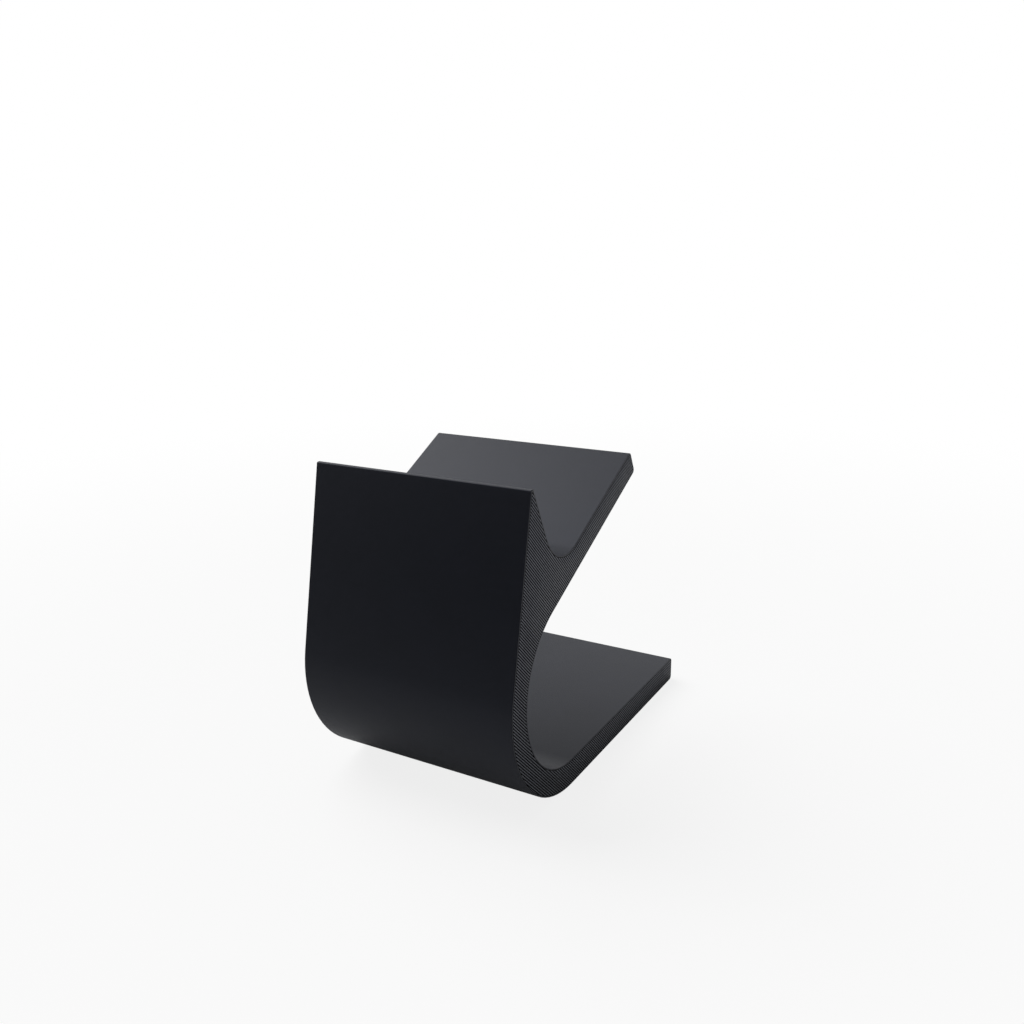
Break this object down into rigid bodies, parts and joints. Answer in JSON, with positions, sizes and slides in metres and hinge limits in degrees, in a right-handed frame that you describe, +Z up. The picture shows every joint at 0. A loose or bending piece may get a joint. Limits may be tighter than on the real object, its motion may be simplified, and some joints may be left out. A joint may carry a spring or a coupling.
{
  "type": "game controller stand",
  "caption": "One-piece bent desk stand: flat base, round bend and leaning front wall, with a lip, round-bottomed groove and rising arm that cradle a game controller.",
  "frame": {"origin": "middle of the outline's width and length, on the surface that the base rests on", "axes": "+X across the width, +Y from the front wall to the base's free end, +Z up"},
  "size_m": [0.047, 0.0776, 0.0644],
  "materials": {
    "black_print": "matte near-black plastic, 3D printed on its side, with fine lines along the bend and a slanted fill on the side faces"
  },
  "bodies": {
    "root": {"stand": "black_print"}
  },
  "joints": []
}
